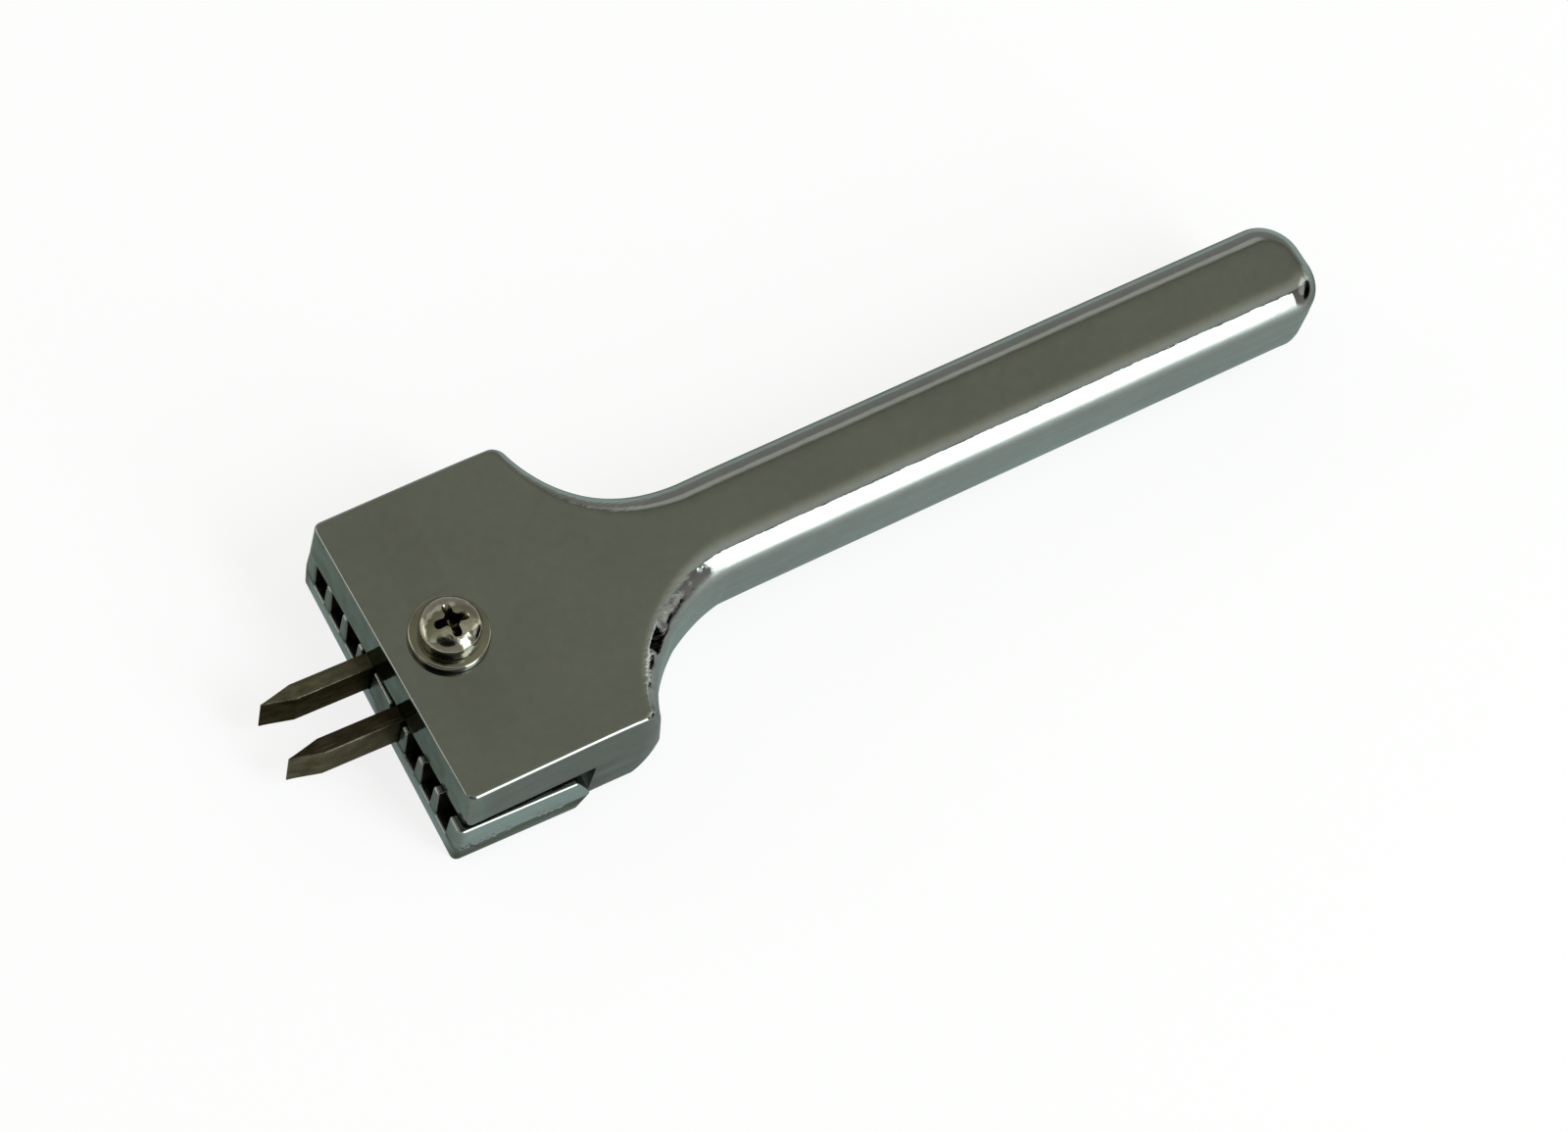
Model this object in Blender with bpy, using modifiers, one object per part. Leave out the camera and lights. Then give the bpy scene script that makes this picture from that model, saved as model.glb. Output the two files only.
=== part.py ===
"""Two-prong setting punch: a cast handle and head, with two prongs clamped under it.

The tool lies on its clamp plate. +X runs along the handle to its butt, -X to the prongs' tips,
and +Z is up, out of the head's flat top. The origin is under the middle of the tool's box.
"""

import math

import bmesh
import bpy
from mathutils import Matrix

# Prongs: rectangular bars ground to a chisel edge.
PRONG_WIDTH = 0.0021
PRONG_HEIGHT = 0.0058
PRONG_LENGTH = 0.0301
PRONG_BEVEL = 0.0040
PRONG_TIP = 0.00016

# Clamp plate: the lower jaw, with its slots open at the top and at both ends.
SLOTS_EACH_SIDE = 4
SLOT_PITCH = 0.00405
SLOT_DRAFT = math.radians(2.6)
PLATE_LENGTH = 0.0167
PLATE_FLOOR = 0.0027
PLATE_END_WALL = 0.00265
PLATE_LIP = 0.0003
PLATE_CORNER = 0.0010
PLATE_EDGE = 0.0003
PLATE_PARTING = 0.0036
PLATE_SIDE_DRAFT = 0.00025
PLATE_REAR_DRAFT = 0.0012
PLATE_REAR_NOTCH = 0.0019
CLAMP_GAP = 0.00055
CLAMP_SKEW = math.radians(1.65)

# Screw and washer: M4.
SCREW_DIAMETER = 0.0040
SCREW_LENGTH = 0.0160
SCREW_SETBACK = 0.0075
SCREW_HEAD_DIAMETER = 0.0073
SCREW_HEAD_HEIGHT = 0.0031
SCREW_HEAD_SIDE = 0.0015
DRIVE_SPAN = 0.0042
DRIVE_SLOT = 0.0011
DRIVE_DEPTH = 0.0018
DRIVE_TAPER = 0.55
DRIVE_TURN = math.radians(-5.0)
WASHER_DIAMETER = 0.0095
WASHER_THICKNESS = 0.0009
THREAD_WALL = 0.00012

# Casting: the head with its fixed jaw, the shoulders and the handle.
JAW_THICKNESS = 0.00695
STEP_LENGTH = 0.0070
HEAD_INSET = 0.0005
HEAD_SIDE_DRAFT = 0.0004
HEAD_EDGE = 0.0004
HEAD_CORNER = 0.0010
SHOULDER_RADIUS = 0.0172
HANDLE_WIDTH = 0.0125
HANDLE_LENGTH = 0.0855
BUTT_RADIUS = 0.0052
EDGE_WIDTH = 0.0036
EDGE_DEPTH = 0.0020
UNDER_WIDTH = 0.0046
UNDER_DEPTH = 0.0054
SHOULDER_EASE = 0.4
SHOULDER_DRAFT = 0.0007

# Clearances between neighbouring pieces.
SEAT_GAP = 0.00015
SLOT_CLEARANCE = 0.00015
SHANK_CLEARANCE = 0.00008
REAR_GAP = 0.00025

# How finely round shapes are cut.
ARC_STEPS = 15
CORNER_STEPS = 8
EDGE_STEPS = 5
ROUND_STEPS = 40
CUT_MARGIN = 0.0040
FLUSH_TRIM = 0.00001

# Sizes that follow from the ones above.
SLOT_DEPTH = PRONG_HEIGHT + 2 * SEAT_GAP - CLAMP_GAP
SLOT_FLOOR_WIDTH = PRONG_WIDTH + 2 * SLOT_CLEARANCE
SLOT_MOUTH_WIDTH = SLOT_FLOOR_WIDTH + 2 * SLOT_DEPTH * math.tan(SLOT_DRAFT)
SHANK_HOLE_RADIUS = SCREW_DIAMETER / 2 + SHANK_CLEARANCE
FIRST_SLOT = SHANK_HOLE_RADIUS + THREAD_WALL + SLOT_MOUTH_WIDTH / 2
LAST_SLOT = FIRST_SLOT + (SLOTS_EACH_SIDE - 1) * SLOT_PITCH
PLATE_WIDTH = 2 * (LAST_SLOT + SLOT_MOUTH_WIDTH / 2 + PLATE_END_WALL)
PLATE_THICKNESS = PLATE_FLOOR + SLOT_DEPTH
PLATE_FRONT = -PLATE_LIP - SCREW_SETBACK
PLATE_REAR = PLATE_FRONT + PLATE_LENGTH
HEAD_WIDTH = PLATE_WIDTH - 2 * HEAD_INSET
RECESS_LENGTH = SCREW_SETBACK + PLATE_REAR + math.sin(CLAMP_SKEW) * PLATE_WIDTH / 2 + REAR_GAP
HEAD_LENGTH = RECESS_LENGTH + STEP_LENGTH
JAW_UNDERSIDE = PLATE_THICKNESS + CLAMP_GAP
TOP = JAW_UNDERSIDE + JAW_THICKNESS
BODY_THICKNESS = JAW_THICKNESS + PLATE_THICKNESS
UNDERSIDE = TOP - BODY_THICKNESS
SHOULDER_Y = HANDLE_WIDTH / 2 + SHOULDER_RADIUS
SHOULDER_X = HEAD_LENGTH + math.sqrt(SHOULDER_RADIUS ** 2 - (SHOULDER_Y - HEAD_WIDTH / 2) ** 2)
BUTT_X = SHOULDER_X + HANDLE_LENGTH
PRONG_REAR = PLATE_REAR
PRONG_FRONT = PRONG_REAR - PRONG_LENGTH
TIP_X = (SCREW_SETBACK + PRONG_FRONT * math.cos(CLAMP_SKEW)
         - (FIRST_SLOT + PRONG_TIP / 2) * math.sin(CLAMP_SKEW))
FRAME_X = -(TIP_X + BUTT_X) / 2


def clear_scene():
    """Remove every object that the file starts with."""
    for thing in list(bpy.data.objects):
        bpy.data.objects.remove(thing, do_unlink=True)


def new_collection(name):
    """Add a collection under the scene's own."""
    group = bpy.data.collections.new(name)
    bpy.context.scene.collection.children.link(group)
    return group


def new_material(name, colour, roughness):
    """Make a metal of one colour and roughness."""
    material = bpy.data.materials.new(name)
    material.use_nodes = True
    shader = material.node_tree.nodes["Principled BSDF"]
    shader.inputs["Base Color"].default_value = (*colour, 1.0)
    shader.inputs["Metallic"].default_value = 1.0
    shader.inputs["Roughness"].default_value = roughness
    return material


def new_empty(name, location, turn=0.0, parent=None):
    """Add an empty that places the pieces under it."""
    empty = bpy.data.objects.new(name, None)
    empty.location = location
    empty.rotation_euler = (0.0, 0.0, turn)
    empty.parent = parent
    parts.objects.link(empty)
    return empty


def new_object(name, bm, group, parent):
    """Turn a bmesh into a named object under its parent."""
    mesh = bpy.data.meshes.new(name)
    bm.to_mesh(mesh)
    bm.free()
    thing = bpy.data.objects.new(name, mesh)
    thing.parent = parent
    group.objects.link(thing)
    return thing


def new_cutter(name, bm, parent):
    """Make an object that only cuts others."""
    cutter = new_object(name, bm, cutters, parent)
    cutter.hide_render = True
    cutter.display_type = 'WIRE'
    return cutter


def cut(thing, cutter, operation='DIFFERENCE'):
    """Add a Boolean modifier that cuts a piece."""
    modifier = thing.modifiers.new(cutter.name, 'BOOLEAN')
    modifier.operation = operation
    modifier.object = cutter


def finish(thing, material):
    """Give a piece its material, and shade its round faces smooth."""
    thing.data.materials.append(material)
    thing.data.shade_smooth()
    thing.data.set_sharp_from_angle(angle=math.radians(35.0))


def box(low, high):
    """A bmesh box between two corners."""
    bm = bmesh.new()
    bmesh.ops.create_cube(bm, size=1.0)
    size = [b - a for a, b in zip(low, high)]
    middle = [(a + b) / 2 for a, b in zip(low, high)]
    bmesh.ops.scale(bm, vec=size, verts=bm.verts)
    bmesh.ops.translate(bm, vec=middle, verts=bm.verts)
    return bm


def cylinder(radius, low, high):
    """A bmesh cylinder on the Z axis."""
    bm = bmesh.new()
    middle = Matrix.Translation((0.0, 0.0, (low + high) / 2))
    bmesh.ops.create_cone(bm, cap_ends=True, segments=ROUND_STEPS, radius1=radius, radius2=radius,
                          depth=high - low, matrix=middle)
    return bm


def prism(name, points, extrude):
    """A flat outline given a thickness, as a welded bmesh."""
    curve = bpy.data.curves.new(name, 'CURVE')
    curve.dimensions = '2D'
    curve.fill_mode = 'BOTH'
    curve.extrude = extrude
    spline = curve.splines.new('POLY')
    spline.points.add(len(points) - 1)
    for point, (x, y) in zip(spline.points, points):
        point.co = (x, y, 0.0, 1.0)
    spline.use_cyclic_u = True
    guide = bpy.data.objects.new(name, curve)
    cutters.objects.link(guide)
    graph = bpy.context.evaluated_depsgraph_get()
    mesh = bpy.data.meshes.new_from_object(guide.evaluated_get(graph))
    bpy.data.objects.remove(guide)
    bm = bmesh.new()
    bm.from_mesh(mesh)
    bpy.data.meshes.remove(mesh)
    bmesh.ops.remove_doubles(bm, verts=bm.verts, dist=1e-6)
    bmesh.ops.recalc_face_normals(bm, faces=bm.faces)
    return bm


def arc(centre, radius, start, stop, steps):
    """Points along a round stretch of an outline, between two angles in degrees."""
    angles = [math.radians(start + (stop - start) * step / steps) for step in range(steps + 1)]
    return [(centre[0] + radius * math.cos(a), centre[1] + radius * math.sin(a)) for a in angles]


def turned(name, profile, parent):
    """A profile of radius and height, listed down its outer side, turned about the Z axis."""
    bm = bmesh.new()
    verts = [bm.verts.new((radius, 0.0, height)) for radius, height in profile]
    for first, second in zip(verts, verts[1:]):
        bm.edges.new((first, second))
    if profile[0][0] > 0.0:
        bm.edges.new((verts[-1], verts[0]))
    thing = new_object(name, bm, parts, parent)
    modifier = thing.modifiers.new("turn", 'SCREW')
    modifier.steps = ROUND_STEPS
    modifier.render_steps = ROUND_STEPS
    modifier.use_merge_vertices = True
    modifier.merge_threshold = 1e-6
    return thing


def casting_outline(height, inset):
    """The casting cut at a height: drawn in by its rounded edge, with the shoulders fullest half way up,
    and run on past the head's faces."""
    full = SHOULDER_RADIUS - SHOULDER_DRAFT * (1.0 - abs(2.0 * (height - UNDERSIDE) / BODY_THICKNESS - 1.0))
    beyond_side = max(HEAD_WIDTH / 2, SHOULDER_Y) + CUT_MARGIN
    butt_centre = (BUTT_X - BUTT_RADIUS, HANDLE_WIDTH / 2 - BUTT_RADIUS)
    half = [(-CUT_MARGIN, beyond_side), (SHOULDER_X - full - SHOULDER_EASE * inset, beyond_side)]
    for step in range(ARC_STEPS):
        share = step / ARC_STEPS
        radius = full + (SHOULDER_RADIUS - full) * share ** 2
        radius += inset * (SHOULDER_EASE + (1.0 - SHOULDER_EASE) * share)
        angle = math.radians(180.0 + 90.0 * share)
        half.append((SHOULDER_X + radius * math.cos(angle), SHOULDER_Y + radius * math.sin(angle)))
    half.append((SHOULDER_X, HANDLE_WIDTH / 2 - inset))
    half += arc(butt_centre, BUTT_RADIUS - inset, 90.0, 0.0, CORNER_STEPS)
    return half + [(x, -y) for x, y in reversed(half)]


def casting_body():
    """The casting's outline at each height, from its round underside to its eased top, joined by quads."""
    angles = [math.radians(90.0 * step / EDGE_STEPS) for step in range(EDGE_STEPS + 1)]
    levels = [(UNDERSIDE + UNDER_DEPTH * (1.0 - math.cos(a)), UNDER_WIDTH * (1.0 - math.sin(a))) for a in angles]
    levels += [(TOP - BODY_THICKNESS / 2, 0.0)]
    levels += [(TOP - EDGE_DEPTH * (1.0 - math.sin(a)), EDGE_WIDTH * (1.0 - math.cos(a))) for a in angles]
    bm = bmesh.new()
    rings = [[bm.verts.new((x, y, height)) for x, y in casting_outline(height, inset)] for height, inset in levels]
    for low, high in zip(rings, rings[1:]):
        for index, vert in enumerate(low):
            bm.faces.new((low[index - 1], vert, high[index], high[index - 1]))
    bm.faces.new(rings[0][::-1])
    bm.faces.new(rings[-1])
    bmesh.ops.recalc_face_normals(bm, faces=bm.faces)
    return bm


def head_block():
    """The block that trims the casting to the head's faces: drafted from its middle, with eased edges."""
    middle = TOP - BODY_THICKNESS / 2
    bm = box((0.0, -HEAD_WIDTH / 2, UNDERSIDE + FLUSH_TRIM),
             (BUTT_X + CUT_MARGIN, HEAD_WIDTH / 2, TOP - FLUSH_TRIM))
    bmesh.ops.bisect_plane(bm, geom=bm.verts[:] + bm.edges[:] + bm.faces[:],
                           plane_co=(0.0, 0.0, middle), plane_no=(0.0, 0.0, 1.0))
    for vert in bm.verts:
        if abs(vert.co.z - middle) > HEAD_EDGE:
            vert.co.y *= 1.0 - 2 * HEAD_SIDE_DRAFT / HEAD_WIDTH
    front = [e for e in bm.edges if all(v.co.x < HEAD_CORNER for v in e.verts)
             and abs(e.verts[0].co.z - e.verts[1].co.z) > HEAD_CORNER]
    bmesh.ops.bevel(bm, geom=front, offset=HEAD_CORNER, segments=4, profile=0.5, affect='EDGES')
    rims = [e for e in bm.edges if all(abs(v.co.z - middle) > HEAD_CORNER for v in e.verts)]
    bmesh.ops.bevel(bm, geom=rims, offset=HEAD_EDGE, segments=2, profile=0.5, affect='EDGES')
    return bm


def make_casting():
    """Head, shoulders and handle in one: rounded outline, trimmed head, clamp recess, screw hole."""
    casting = new_object("head_and_handle", casting_body(), parts, tool)
    cut(casting, new_cutter("head_block", head_block(), tool), 'INTERSECT')
    hole = cylinder(SHANK_HOLE_RADIUS, UNDERSIDE - CUT_MARGIN, TOP + CUT_MARGIN)
    cut(casting, new_cutter("shank_hole", hole, screw_axis))
    recess = box((-CUT_MARGIN, -HEAD_WIDTH, UNDERSIDE - CUT_MARGIN),
                 (RECESS_LENGTH, HEAD_WIDTH, JAW_UNDERSIDE))
    cut(casting, new_cutter("clamp_recess", recess, tool))
    finish(casting, plating)


def make_clamp_plate():
    """Lower jaw: drafted below its parting line, notched at the top of its rear, slotted and drilled."""
    bm = box((PLATE_FRONT, -PLATE_WIDTH / 2, PLATE_PARTING), (PLATE_REAR, PLATE_WIDTH / 2, PLATE_THICKNESS))
    corners = [e for e in bm.edges if all(v.co.x < PLATE_FRONT + PLATE_CORNER for v in e.verts)
               and abs(e.verts[0].co.z - e.verts[1].co.z) > PLATE_EDGE]
    bmesh.ops.bevel(bm, geom=corners, offset=PLATE_CORNER, segments=3, profile=0.5, affect='EDGES')
    for vert in bm.verts:
        if vert.co.z > PLATE_PARTING + PLATE_EDGE and vert.co.x > PLATE_REAR - PLATE_EDGE:
            vert.co.x -= PLATE_REAR_NOTCH
    under = [f for f in bm.faces if f.normal.z < -0.5]
    lower = bmesh.ops.extrude_face_region(bm, geom=under)
    bmesh.ops.delete(bm, geom=under, context='FACES_ONLY')
    for vert in (v for v in lower["geom"] if isinstance(v, bmesh.types.BMVert)):
        along = (vert.co.x - PLATE_FRONT) / PLATE_LENGTH
        vert.co.x -= along * PLATE_REAR_DRAFT
        vert.co.y *= 1.0 - 2 * PLATE_SIDE_DRAFT / PLATE_WIDTH
        vert.co.z = 0.0
    bmesh.ops.recalc_face_normals(bm, faces=bm.faces)
    plate = new_object("clamp_plate", bm, parts, clamp_axis)
    easing = plate.modifiers.new("eased_edges", 'BEVEL')
    easing.width = PLATE_EDGE
    easing.segments = 2
    easing.limit_method = 'ANGLE'
    easing.angle_limit = math.radians(30.0)
    for side in (-1, 1):
        for index in range(SLOTS_EACH_SIDE):
            middle = side * (FIRST_SLOT + index * SLOT_PITCH)
            cut(plate, new_cutter("slot", slot_cutter(middle), clamp_axis))
    hole = cylinder(SHANK_HOLE_RADIUS, -CUT_MARGIN, PLATE_THICKNESS + CUT_MARGIN)
    cut(plate, new_cutter("thread_hole", hole, clamp_axis))
    finish(plate, plating)


def slot_cutter(middle):
    """A bar as long as the plate, wider at the mouth than at the floor, about one slot's middle."""
    bm = box((PLATE_FRONT - CUT_MARGIN, -0.5, PLATE_FLOOR), (PLATE_REAR + CUT_MARGIN, 0.5, TOP))
    for vert in bm.verts:
        rise = vert.co.z - PLATE_FLOOR
        half = SLOT_FLOOR_WIDTH / 2 + rise * math.tan(SLOT_DRAFT)
        vert.co.y = middle + math.copysign(half, vert.co.y)
    return bm


def make_prong(name, middle):
    """A bar whose two sides are ground to meet in an upright chisel edge."""
    outline = [(PRONG_FRONT, -PRONG_TIP / 2), (PRONG_FRONT + PRONG_BEVEL, -PRONG_WIDTH / 2),
               (PRONG_REAR, -PRONG_WIDTH / 2), (PRONG_REAR, PRONG_WIDTH / 2),
               (PRONG_FRONT + PRONG_BEVEL, PRONG_WIDTH / 2), (PRONG_FRONT, PRONG_TIP / 2)]
    bm = prism(name, outline, PRONG_HEIGHT / 2)
    prong = new_object(name, bm, parts, clamp_axis)
    prong.location = (0.0, middle, PLATE_FLOOR + SEAT_GAP + PRONG_HEIGHT / 2)
    finish(prong, prong_steel)


def make_washer():
    """A flat ring on the head's top, round the screw."""
    low = TOP + SEAT_GAP
    high = low + WASHER_THICKNESS
    profile = [(SHANK_HOLE_RADIUS, high), (WASHER_DIAMETER / 2, high),
               (WASHER_DIAMETER / 2, low), (SHANK_HOLE_RADIUS, low)]
    finish(turned("flat_washer", profile, screw_axis), nickel)


def make_screw():
    """A pan head with a cross recess, on a plain shank that stands for the thread."""
    seat = TOP + 2 * SEAT_GAP + WASHER_THICKNESS
    crown = SCREW_HEAD_HEIGHT - SCREW_HEAD_SIDE
    head = SCREW_HEAD_DIAMETER / 2
    angles = [math.radians(90.0 - 90.0 * step / CORNER_STEPS) for step in range(CORNER_STEPS + 1)]
    profile = [(head * math.cos(a), seat + SCREW_HEAD_SIDE + crown * math.sin(a)) for a in angles]
    profile[0] = (0.0, seat + SCREW_HEAD_HEIGHT)
    profile += [(head, seat), (SCREW_DIAMETER / 2, seat), (SCREW_DIAMETER / 2, seat - SCREW_LENGTH),
                (0.0, seat - SCREW_LENGTH)]
    screw = turned("clamp_screw", profile, screw_axis)
    for wing, turn in (("drive_wing_a", DRIVE_TURN), ("drive_wing_b", DRIVE_TURN + math.pi / 2)):
        cut(screw, new_cutter(wing, drive_wing(seat + SCREW_HEAD_HEIGHT, turn), screw_axis))
    finish(screw, nickel)


def drive_wing(crown, turn):
    """One of the two crossed slots of the driver recess, narrowing downwards."""
    bm = box((-DRIVE_SPAN / 2, -DRIVE_SLOT / 2, crown - DRIVE_DEPTH),
             (DRIVE_SPAN / 2, DRIVE_SLOT / 2, crown))
    for vert in bm.verts:
        if vert.co.z < crown - DRIVE_DEPTH / 2:
            vert.co.x *= DRIVE_TAPER
            vert.co.y *= DRIVE_TAPER
        else:
            vert.co.z += DRIVE_DEPTH
            vert.co.x *= 2.0 - DRIVE_TAPER
            vert.co.y *= 2.0 - DRIVE_TAPER
    bmesh.ops.rotate(bm, matrix=Matrix.Rotation(turn, 3, 'Z'), verts=bm.verts)
    return bm


clear_scene()
parts = new_collection("setting_punch")
cutters = new_collection("cutters")
plating = new_material("bright_plating", (0.30, 0.32, 0.30), 0.08)
nickel = new_material("nickel_plating", (0.42, 0.40, 0.34), 0.16)
prong_steel = new_material("prong_steel", (0.10, 0.085, 0.060), 0.45)

tool = new_empty("tool", (FRAME_X, 0.0, 0.0))
screw_axis = new_empty("screw_axis", (SCREW_SETBACK, 0.0, 0.0), 0.0, tool)
clamp_axis = new_empty("clamp_axis", (SCREW_SETBACK, 0.0, 0.0), -CLAMP_SKEW, tool)

make_casting()
make_clamp_plate()
make_prong("prong_left", -FIRST_SLOT)
make_prong("prong_right", FIRST_SLOT)
make_washer()
make_screw()
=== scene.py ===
import math

import bmesh
import bpy
import numpy as np
from mathutils import Matrix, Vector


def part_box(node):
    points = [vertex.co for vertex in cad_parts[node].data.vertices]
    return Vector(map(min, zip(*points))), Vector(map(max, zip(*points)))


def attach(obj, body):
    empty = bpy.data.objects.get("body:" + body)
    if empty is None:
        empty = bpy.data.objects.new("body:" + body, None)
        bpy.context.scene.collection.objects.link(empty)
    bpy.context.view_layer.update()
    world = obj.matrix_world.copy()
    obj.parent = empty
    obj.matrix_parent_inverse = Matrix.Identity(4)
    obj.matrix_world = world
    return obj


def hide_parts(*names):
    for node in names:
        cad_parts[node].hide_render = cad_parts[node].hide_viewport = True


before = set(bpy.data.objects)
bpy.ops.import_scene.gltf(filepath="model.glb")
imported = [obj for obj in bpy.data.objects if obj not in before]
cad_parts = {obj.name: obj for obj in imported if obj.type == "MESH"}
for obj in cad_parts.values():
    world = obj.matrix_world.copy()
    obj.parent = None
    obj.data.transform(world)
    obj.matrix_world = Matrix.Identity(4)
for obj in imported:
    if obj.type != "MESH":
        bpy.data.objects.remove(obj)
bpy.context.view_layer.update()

# The casting: handle, shoulders and head with the fixed upper jaw, die-cast in one pour, ground,
# polished by hand and plated bright. The clamp recess is left under the head's front, and one
# clearance hole goes down through the jaw for the screw. Sizes here and below are in millimetres.
MM = 0.001
WELD, SHARP = 1e-5, math.radians(38.0)
SEAT_GAP = 0.15
jaw_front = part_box("head_and_handle")[0].x / MM
head_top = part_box("flat_washer")[0].z / MM - SEAT_GAP

JAW_DEPTH, BODY_DEPTH = 6.95, 15.2
HEAD_HALF, HEAD_DRAFT, HEAD_EDGE, HEAD_CORNER = 19.404, 0.4, 0.4, 1.0
RECESS_X, JAW_EDGE = 17.223, 0.3
SHOULDER_X, SHOULDER_Y, SHOULDER_R, SHOULDER_TURN = 40.94, 23.45, 17.0, 1.2
SHOULDER_EASE, SHOULDER_DRAFT = 0.4, 0.7
EDGE_WIDE, EDGE_DEEP, UNDER_WIDE, UNDER_DEEP = 4.2, 2.8, 4.9, 6.6
HANDLE_HALF, BUTT_X, BUTT_R = 6.45, 126.44, 5.4
BUTT_EDGE_WIDER, BUTT_EDGE_DEEPER, BUTT_UNDER_WIDER, BUTT_UNDER_DEEPER = -0.3, 0.9, -2.0, -2.6
BUTT_FULLER, BUTT_FULL_DEPTH = 0.5, 6.0
SCREW_X, HOLE_R = 7.5, 2.08
STEP_HALF = HEAD_HALF - HEAD_DRAFT * abs(2.0 * JAW_DEPTH / BODY_DEPTH - 1.0)
ACROSS = np.array([0.0, 1.0 - JAW_EDGE / STEP_HALF, 1.0])
FRONT_POINTS, CORNER_POINTS, HOLE_POINTS = 2, 10, 25
BEFORE_HOLE, BEHIND_HOLE = (2.4, 3.8), (11.0, 14.0, RECESS_X)


def eased(depth, across, down):
    """How far an edge draws in at a depth below its face: a quarter ellipse, so wide and so deep."""
    rise = np.clip(1.0 - depth / down, 0.0, 1.0)
    return across * (1.0 - np.sqrt(1.0 - rise ** 2))


def joined(along, across):
    """One stretch of an outline from its shorter ones, which are given as rows for every depth."""
    return np.stack([np.concatenate(along, axis=1), np.concatenate(across, axis=1)], axis=2)


def jaw_stretch(d, half, head):
    """The jaw: straight out from the middle of its front, a quarter circle round its upright corner,
    and straight along its side to the recess, with a point for each step of the screw's hole."""
    jaw = np.maximum(head, eased(JAW_DEPTH - d, JAW_EDGE, JAW_EDGE))
    turn = np.radians(np.linspace(0.0, 90.0, CORNER_POINTS))
    corner = HEAD_CORNER - jaw
    front_x = jaw + 0.0 * ACROSS[:FRONT_POINTS]
    front_y = (half - HEAD_CORNER) * ACROSS[:FRONT_POINTS]
    corner_x = HEAD_CORNER - corner * np.cos(turn)
    corner_y = half - HEAD_CORNER + corner * np.sin(turn)
    hole = SCREW_X - HOLE_R * np.cos(np.linspace(0.0, math.pi, HOLE_POINTS))
    side_x = np.concatenate([BEFORE_HOLE, hole, BEHIND_HOLE]) + 0.0 * d
    side_y = half - jaw + 0.0 * side_x
    return joined([front_x, corner_x, side_x], [front_y, corner_y, side_y])


FLAT_FROM, FLAT_TO, FLATS = 0.17, 1.19, ((0.41, 0.085), (0.08, 0.06))
RIPPLE_HIGH, RIPPLE_COUNT, RIPPLE_LEAN = 0.03, 55.0, 2.0


def hand_grinding(d, edge, share):
    """What grinding takes off a shoulder's rounded edge: short flats, which are chords of the rounding,
    each over its own share of the arc, and shallow ripples along it, which fade at both its ends."""
    ends = np.array([FLAT_FROM, FLAT_TO])
    chord = np.interp(d, ends, eased(ends, EDGE_WIDE, EDGE_DEEP))
    flat = np.clip(chord - edge, 0.0, None) * (d > FLAT_FROM) * (d < FLAT_TO)
    flat_here = sum(np.exp(-((share - middle) / reach) ** 8) for middle, reach in FLATS)
    flat = flat * (SHOULDER_EASE + (1.0 - SHOULDER_EASE) * share) * flat_here
    ripple = RIPPLE_HIGH * np.sin(RIPPLE_COUNT * share + RIPPLE_LEAN * d)
    ripple = ripple * np.sin(math.pi * np.clip(d / EDGE_DEEP, 0.0, 1.0))
    return flat + ripple * np.sin(math.pi * share)


def shoulder_stretch(d, half, head, edge, under, ground):
    """The head's side, a small arc round its rear corner, and the shoulder's hollow arc, which meets
    the small one smoothly. The hollow's radius grows along it until its edges are the handle's own."""
    bulge = SHOULDER_DRAFT * (1.0 - np.abs(2.0 * d / BODY_DEPTH - 1.0))
    radius = SHOULDER_R + SHOULDER_EASE * (edge + under) - bulge
    turn_y = half - head - SHOULDER_TURN
    turn_x = SHOULDER_X - np.sqrt((radius + SHOULDER_TURN) ** 2 - (SHOULDER_Y - turn_y) ** 2)
    side_x = RECESS_X + (turn_x - RECESS_X) * np.array([0.0, 0.4, 0.8])
    side_y = half - head + 0.0 * side_x
    lean = np.arctan2(SHOULDER_Y - turn_y, SHOULDER_X - turn_x)
    sweep = math.pi / 2 + (lean - math.pi / 2) * np.linspace(0.0, 1.0, 9)
    turned_x = turn_x + SHOULDER_TURN * np.cos(sweep)
    turned_y = turn_y + SHOULDER_TURN * np.sin(sweep)
    share = np.linspace(0.0, 1.0, 81)[1:]
    sweep = math.pi + lean + (math.pi / 2 - lean) * share
    radius = radius + bulge * share ** 4 + (1.0 - SHOULDER_EASE) * edge * share
    radius = radius + under * (share ** 6 + SHOULDER_EASE * ((1.0 - share) ** 2 - 1.0))
    radius = radius + ground * hand_grinding(d, edge, share)
    hollow_x = SHOULDER_X + radius * np.cos(sweep)
    hollow_y = SHOULDER_Y + radius * np.sin(sweep)
    return joined([side_x, turned_x, hollow_x], [side_y, turned_y, hollow_y])


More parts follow.
